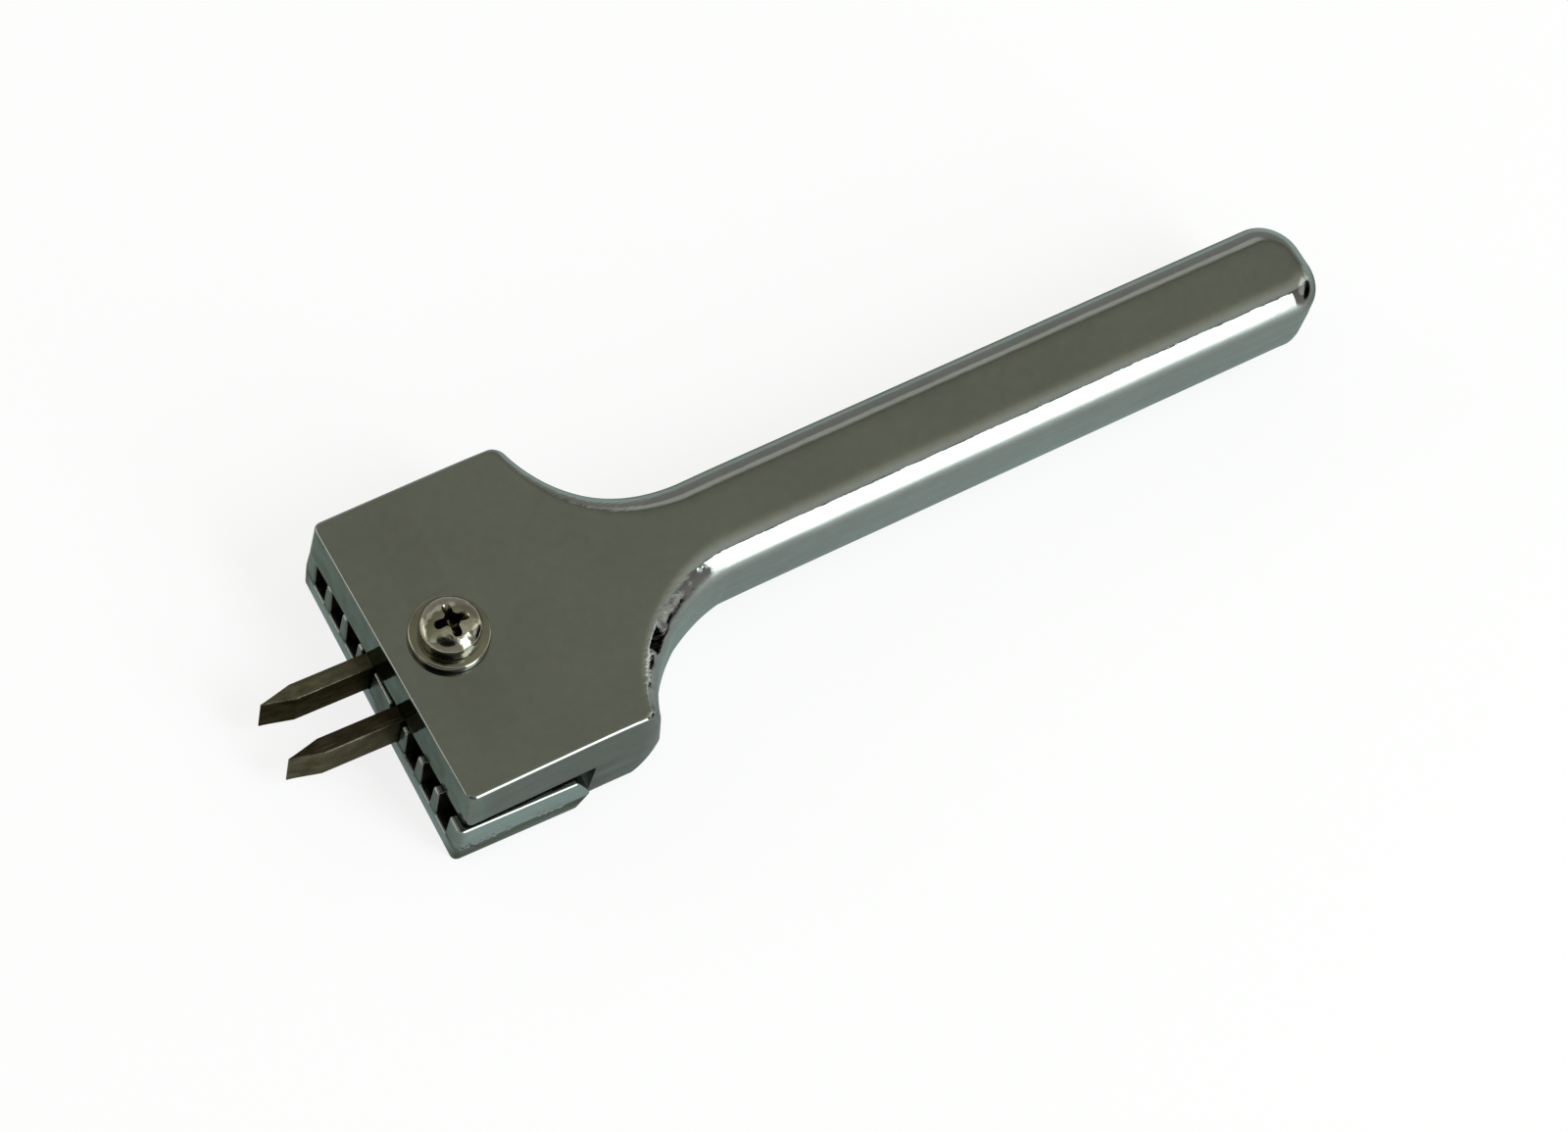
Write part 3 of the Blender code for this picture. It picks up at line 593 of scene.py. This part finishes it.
# Each prong's tones: a pair for the top and a pair for the sides. The near (left) prong's sides are painted
# lighter, a painted reflection of the bright table, and the far (right) prong's sides are painted darker, a
# painted shade between the prongs.
BROWN_WITH_LIT_SIDES = ((0.023, 0.018, 0.011), (0.050, 0.040, 0.027)), ((0.058, 0.053, 0.035), (0.112, 0.105, 0.075))
OLIVE_WITH_SHADED_SIDES = ((0.062, 0.056, 0.036), (0.125, 0.112, 0.076)), ((0.014, 0.012, 0.008), (0.036, 0.032, 0.022))
for name, body, middle, tones in (("left", "left_prong", -FIRST_SLOT, BROWN_WITH_LIT_SIDES),
                                  ("right", "right_prong", FIRST_SLOT, OLIVE_WITH_SHADED_SIDES)):
    prong = solid("chisel_prong_" + name, bar + [0.0, middle, 0.0], screw_at, SKEW)
    normal = np.abs(points_of(prong)[1])
    sideways = np.hypot(normal[:, 0], normal[:, 1])
    # The note upright marks the side faces, which take the painted side tones.
    keep_notes(prong, upright=np.clip(2.0 * sideways - 0.5, 0.0, 1.0),
               worn=np.clip(2.2 * np.minimum(sideways, normal[:, 2]) - 0.35, 0.0, 1.0))
    prong.data.materials.append(dark_steel(name + "_prong_steel", *tones))
    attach(prong, body)
    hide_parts("prong_" + name)

# The washer: a flat ring punched from sheet and nickelled, between the screw's head and the casting.
# Its upper rim is rolled over from the punch, and its under rim is nearly sharp.
WASHER_R, WASHER_THICK, WASHER_ROLL, WASHER_EDGE = 4.75, 0.9, 0.3, 0.08


def turned(profile, count):
    """A profile of radius and height turned once about Z."""
    turn = np.linspace(0.0, 2.0 * math.pi, count + 1)
    radius, height = profile[:, :1], profile[:, 1:]
    return np.stack([radius * np.cos(turn), radius * np.sin(turn), height + 0.0 * turn], axis=2)


def washer_profile():
    """Down the outside with a rolled upper rim, a quarter circle, in along the underside, up the bore
    and out again, with the other edges just broken."""
    roll = np.radians(np.linspace(90.0, 0.0, 7))
    low = head_top + SEAT_GAP
    high = low + WASHER_THICK
    outer = np.stack([WASHER_R - WASHER_ROLL + WASHER_ROLL * np.cos(roll),
                      high - WASHER_ROLL + WASHER_ROLL * np.sin(roll)], axis=1)
    rest = [[WASHER_R, low + WASHER_EDGE], [WASHER_R - WASHER_EDGE, low], [HOLE_R + WASHER_EDGE, low],
            [HOLE_R, low + WASHER_EDGE], [HOLE_R, high - WASHER_EDGE], [HOLE_R + WASHER_EDGE, high],
            [3.2, high]]
    return np.concatenate([outer, rest, outer[:1]])


# The painted shade in the screw's cross recess.
RECESS_SHADE = (0.050, 0.042, 0.028)


def nickel(name, dark, light, rings, dents):
    """Nickelled steel: a warm bright metal, cloudy between two tones, with turning or punching marks
    round its axis, soft dents so deep, and painted shade wherever the piece's recess note is set."""
    material, tree, shader, place = metal(name)
    centre = tuple(-MM * v for v in screw_at)
    place = add(tree, "Mapping", {"Vector": place, "Location": centre}).outputs["Vector"]
    cloud = noise(tree, place, 420.0, 4.0)
    tint = mixed(tree, ramp(tree, cloud, 0.3, 0.7, 0.0, 1.0), dark, light)
    marks = add(tree, "TexWave", {"Vector": place, "Scale": rings, "Distortion": 2.0, "Detail": 2.0},
                wave_type="RINGS", rings_direction="Z").outputs["Fac"]
    feed(tree, shader, {
        "Base Color": mixed(tree, noted(tree, "recess"), tint, RECESS_SHADE),
        "Roughness": ramp(tree, cloud, 0.0, 1.0, 0.06, 0.18),
        "Normal": relief(tree, (marks, 1.5e-6), (noise(tree, place, 800.0, 1.5), dents)),
    })
    return material


washer = solid("flat_washer_ring", patch(turned(washer_profile(), count=96)), screw_at)
WASHER_DARK, WASHER_LIGHT = (0.185, 0.178, 0.145), (0.240, 0.230, 0.188)
washer.data.materials.append(nickel("washer_nickel", WASHER_DARK, WASHER_LIGHT, rings=900.0, dents=1.5e-5))
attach(washer, "washer")
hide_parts("flat_washer")

# The screw: a nickelled machine screw, 4 mm, with a domed pan head and a cross recess. It hangs from
# the washer and draws the clamp plate up to the jaw.
HEAD_R, HEAD_SIDE, HEAD_DOME, SHANK_R, SHANK_LENGTH = 3.65, 1.5, 1.6, 2.0, 16.0
THREAD_PITCH, THREAD_DEEP, THREAD_END, THREAD_RUN_OUT = 0.7, 0.40, 0.6, 1.2
CROSS_HALF, CROSS_CORE, CROSS_TURN, CROSS_DEEP, CROSS_TAPER = 2.1, 0.95, math.radians(-5.0), 2.0, 0.42
CROSS_ARM, CROSS_FLOOR = 23.0, 0.25
seat = head_top + 2 * SEAT_GAP + WASHER_THICK


def screw_rows():
    """Rows of points round the screw's axis, from the tip up the thread, out under the head, up its
    side, over the dome to the rim of the cross, and down the recess to its middle. The thread's radius
    is a rounded wave of height and turn; the rim is a four-armed star, a bell of the turn on each arm."""
    turn = np.radians(np.linspace(0.0, 360.0, 145))
    tip = seat - SHANK_LENGTH
    z = np.linspace(tip, seat - THREAD_END, 160)[:, None] + 0.0 * turn
    wave = np.abs(((z / THREAD_PITCH - turn / (2.0 * math.pi)) % 1.0) * 2.0 - 1.0)
    crest = np.clip(1.35 * wave - 0.15, 0.0, 1.0)
    run_out = np.clip((seat - THREAD_END - z) / THREAD_RUN_OUT, 0.0, 1.0)
    radius = SHANK_R - THREAD_DEEP * (1.0 - crest) * run_out
    radius = np.minimum(radius, 1.35 + 0.9 * (z - tip))
    neck = np.array([[SHANK_R, seat - 0.3], [SHANK_R, seat - 0.05], [SHANK_R + 0.05, seat],
                     [HEAD_R - 0.12, seat], [HEAD_R, seat + 0.12], [HEAD_R, seat + HEAD_SIDE - 0.15]])
    fold = (np.degrees(turn) + 45.0) % 90.0 - 45.0
    rim = CROSS_CORE + (CROSS_HALF - CROSS_CORE) * np.exp(-(fold / CROSS_ARM) ** 4)
    rise = np.linspace(0.0, 1.0, 18)[:, None] * np.arccos(rim / HEAD_R)
    dome_r, dome_z = HEAD_R * np.cos(rise), seat + HEAD_SIDE + HEAD_DOME * np.sin(rise)
    low = seat + HEAD_SIDE + HEAD_DOME - CROSS_DEEP
    share = np.array([0.02, 0.06, 0.12, 0.25, 0.45, 0.7, 1.0])[:, None]
    wall_r = rim * (1.0 - (1.0 - CROSS_TAPER) * share)
    wall_z = dome_z[-1] + (low - dome_z[-1]) * share ** 1.15
    floor_share = np.array([0.6, 0.3, 0.0])[:, None]
    floor_r = rim * CROSS_TAPER * floor_share
    floor_z = low - CROSS_FLOOR * (1.0 - floor_share) + 0.0 * turn
    end_r = np.array([0.0, 0.7])[:, None] + 0.0 * turn
    r = np.concatenate([end_r, radius, neck[:, :1] + 0.0 * turn, dome_r, wall_r, floor_r])
    h = np.concatenate([tip + 0.0 * end_r, z, neck[:, 1:] + 0.0 * turn, dome_z, wall_z, floor_z])
    return np.stack([r * np.cos(turn + CROSS_TURN), r * np.sin(turn + CROSS_TURN), h], axis=2)


screw = solid("cross_head_screw", patch(screw_rows()), screw_at)
point = points_of(screw)[0] - screw_at
dome = np.sqrt(np.clip(1.0 - (point[:, 0] ** 2 + point[:, 1] ** 2) / HEAD_R ** 2, 0.0, 1.0))
below = seat + HEAD_SIDE + HEAD_DOME * dome - point[:, 2]
in_head = (point[:, 2] > seat + 0.5) * (dome > 0.7)
# The recess note sets the painted shade: none near the dome, darker deeper down in the cross.
keep_notes(screw, recess=np.clip((below - 0.15) / 1.1, 0.0, 0.85) * in_head)
SCREW_DARK, SCREW_LIGHT = (0.215, 0.200, 0.160), (0.310, 0.290, 0.235)
screw.data.materials.append(nickel("screw_nickel", SCREW_DARK, SCREW_LIGHT, rings=500.0, dents=8.0e-5))
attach(screw, "screw")
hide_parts("clamp_screw")

# The stage: a white table under the tool, a dim room round it, and one large soft lamp on the near
# side, beyond the handle's end. The camera looks down from the front left. Sizes are in metres.
TABLE_HALF, TABLE_Z, TABLE_GREY = 3.0, -5e-5, (0.9, 0.9, 0.9)
TABLE_WHITE = ("Is Camera Ray", 0.82), ("Is Glossy Ray", 0.4), ("Is Transmission Ray", 0.82)


def staged(name, corners):
    """A thing of the stage from loose quads, with an empty material, and that material's node tree."""
    mesh = bpy.data.meshes.new(name)
    mesh.from_pydata(corners, [], np.arange(len(corners)).reshape(-1, 4).tolist())
    thing = bpy.data.objects.new(name, mesh)
    bpy.context.scene.collection.objects.link(thing)
    material = bpy.data.materials.new(name + "_finish")
    material.use_nodes = True
    material.node_tree.nodes.clear()
    mesh.materials.append(material)
    return thing, material.node_tree


def stage_floor():
    """A white table that the camera and bright metal see as plain white, with the tool's soft shadow."""
    spread = TABLE_HALF * np.array([(-1.0, -1.0), (1.0, -1.0), (1.0, 1.0), (-1.0, 1.0)])
    table, tree = staged("table", np.concatenate([spread, np.full((4, 1), TABLE_Z)], axis=1))
    path = add(tree, "LightPath", {})
    seen = 0.0
    for ray, white in TABLE_WHITE:
        inputs = {0: path.outputs[ray], 1: white, 2: seen}
        seen = add(tree, "Math", inputs, operation="MULTIPLY_ADD").outputs["Value"]
    shaded = add(tree, "BsdfDiffuse", {"Color": TABLE_GREY}).outputs["BSDF"]
    glow = add(tree, "Emission", {"Strength": 1.0}).outputs["Emission"]
    mix = add(tree, "MixShader", {"Fac": seen, 1: shaded, 2: glow})
    add(tree, "OutputMaterial", {"Surface": mix.outputs["Shader"]})


LAMP_FAR, LAMP_FROM, LAMP_TO, LAMP_CORNER = 2.0, 0.32, 1.18, 0.12
LAMP_GLOW, LAMP_END_GLOW, LAMP_LOW_SHARE, LAMP_COLOUR = 8.0, 1.0, 0.22, (0.89, 1.0, 0.985)


def soft_box():
    """A tall curved soft lamp: part of a wide cylinder about the tool's length, from low to overhead,
    with its far corners rounded. It is dimmer towards the table and towards its far end."""
    arc = np.radians(np.linspace(109.0, 179.0, 40))[:, None]
    bend = np.abs(np.linspace(-1.0, 1.0, 40))[:, None]
    along = np.concatenate([LAMP_FROM + 0.0 * bend, LAMP_TO - LAMP_CORNER * bend ** 4], axis=1)
    blank = 0.0 * along
    points = np.stack([along, LAMP_FAR * np.cos(arc) + blank, LAMP_FAR * np.sin(arc) + blank], 2)
    lamp, tree = staged("soft_box", patch(points).reshape(-1, 3))
    lamp.visible_camera = False
    place = add(tree, "TexCoord", {}).outputs["Object"]
    axes = add(tree, "SeparateXYZ", {"Vector": place}).outputs
    glow = ramp(tree, axes["X"], LAMP_TO - LAMP_CORNER, LAMP_TO, LAMP_GLOW, LAMP_END_GLOW)
    glow = maths(tree, "MULTIPLY", glow, ramp(tree, axes["Z"], 0.0, 1.0, LAMP_LOW_SHARE, 1.0))
    lit = add(tree, "Emission", {"Color": LAMP_COLOUR, "Strength": glow})
    add(tree, "OutputMaterial", {"Surface": lit.outputs["Emission"]})


# The room's light by the angle about the tool's length, in degrees from the horizon behind the tool,
# and the strip of light behind it. Then the things in the room: where each is, how near to that aim
# it starts and is full, and how many times as bright as the room it is there.
WARM, COOL, PLAIN = (1.0, 1.02, 0.805), (1.0, 1.05, 0.97), (1.0, 0.98, 0.94)
ROOM_STEPS = ((0, 0.60, PLAIN), (28, 0.55, PLAIN), (47, 0.32, WARM), (56, 0.42, WARM), (72, 0.48, WARM),
              (77, 0.54, WARM), (85, 0.74, WARM), (95, 0.95, COOL), (105, 0.95, COOL),
              (107.5, 0.35, PLAIN), (120, 0.45, PLAIN), (180, 0.60, PLAIN))
STRIP_STEPS = ((0, 0.0, COOL), (28, 0.0, COOL), (33, 0.60, COOL), (41, 0.62, COOL), (47, 0.0, COOL),
               (180, 0.0, COOL))
WINDOW = (-0.80, 0.59, 0.12), 0.88, 0.95, 3.6
PALE_THINGS = ((0.83, -0.25, 0.50), 0.955, 0.985, 2.6), ((0.985, 0.05, 0.15), 0.965, 0.99, 2.2)
DARK_THINGS = ((0.888, -0.414, 0.20), 0.968, 0.986, 0.03), ((0.93, -0.30, 0.22), 0.965, 0.985, 0.06)
OVERHEAD = (-0.34, -0.31, 0.888), 0.915, 0.965, 0.04


def room():
    """A dim room: its light changes with the angle about the tool's length, from the horizon behind the
    tool over the top to the lamp's side, warm above the tool and cooler past overhead, with a strip of
    cool light behind that ends short of the handle's end. A pale window stands beyond the prongs, two
    pale things and two dark ones beyond the handle's end, and a dark one hangs overhead at the front."""
    world = bpy.data.worlds.new("room")
    bpy.context.scene.world = world
    world.use_nodes = True
    tree = world.node_tree
    direction = add(tree, "TexCoord", {}).outputs["Generated"]
    axes = add(tree, "SeparateXYZ", {"Vector": direction}).outputs
    angle = maths(tree, "MULTIPLY", maths(tree, "ARCTAN2", axes["Z"], axes["Y"]), 1.0 / math.pi)

    def round_the_tool(steps):
        node = add(tree, "ValToRGB", {"Fac": angle})
        elements = node.color_ramp.elements
        while len(elements) < len(steps):
            elements.new(0.5)
        for element, (degrees, level, hue) in zip(elements, steps):
            element.position = degrees / 180.0
            element.color = (*[level * c for c in hue], 1.0)
        return node.outputs["Color"]

    strip = ramp(tree, axes["X"], 0.47, 0.64, 1.0, 0.0, interpolation_type="SMOOTHSTEP")
    light = mixed(tree, strip, round_the_tool(ROOM_STEPS), round_the_tool(STRIP_STEPS), "ADD")
    strength = 1.0
    for aim, start, full, level in (WINDOW, *PALE_THINGS, *DARK_THINGS, OVERHEAD):
        nearness = add(tree, "VectorMath", {0: direction, 1: aim}, operation="DOT_PRODUCT").outputs["Value"]
        thing = ramp(tree, nearness, start, full, 1.0, level, interpolation_type="SMOOTHSTEP")
        strength = maths(tree, "MULTIPLY", strength, thing)
    feed(tree, tree.nodes["Background"], {"Color": light, "Strength": strength})


stage_floor()
soft_box()
room()

# The camera: its angles in degrees, the point on the casting's top that it looks at, from the jaw's
# front, and how far off it stands, both in millimetres.
CAMERA_ANGLES, CAMERA_AIM, CAMERA_FAR = (-47.45, 62.67, 19.47), (46.35, -9.11), 506.92
scene = bpy.context.scene
scene.view_settings.view_transform = "Standard"
azimuth, elevation, roll = (math.radians(v) for v in CAMERA_ANGLES)
flat = math.cos(elevation)
back = np.array([math.sin(azimuth) * flat, -math.cos(azimuth) * flat, math.sin(elevation)])
right = np.array([math.cos(azimuth), math.sin(azimuth), 0.0])
above = np.cross(back, right)
across = math.cos(roll) * right + math.sin(roll) * above
upward = math.cos(roll) * above - math.sin(roll) * right
eye = np.array([CAMERA_AIM[0] + jaw_front, CAMERA_AIM[1], head_top]) + CAMERA_FAR * back
lens = bpy.data.cameras.new("camera")
lens.lens, lens.sensor_width, lens.sensor_fit = 101.25, 36.0, "HORIZONTAL"
lens.clip_start, lens.clip_end = 0.01, 20.0
camera = bpy.data.objects.new("camera", lens)
scene.collection.objects.link(camera)
columns = np.stack([across, upward, back, eye * MM], axis=1)
camera.matrix_world = Matrix([*columns.tolist(), [0.0, 0.0, 0.0, 1.0]])
scene.camera = camera
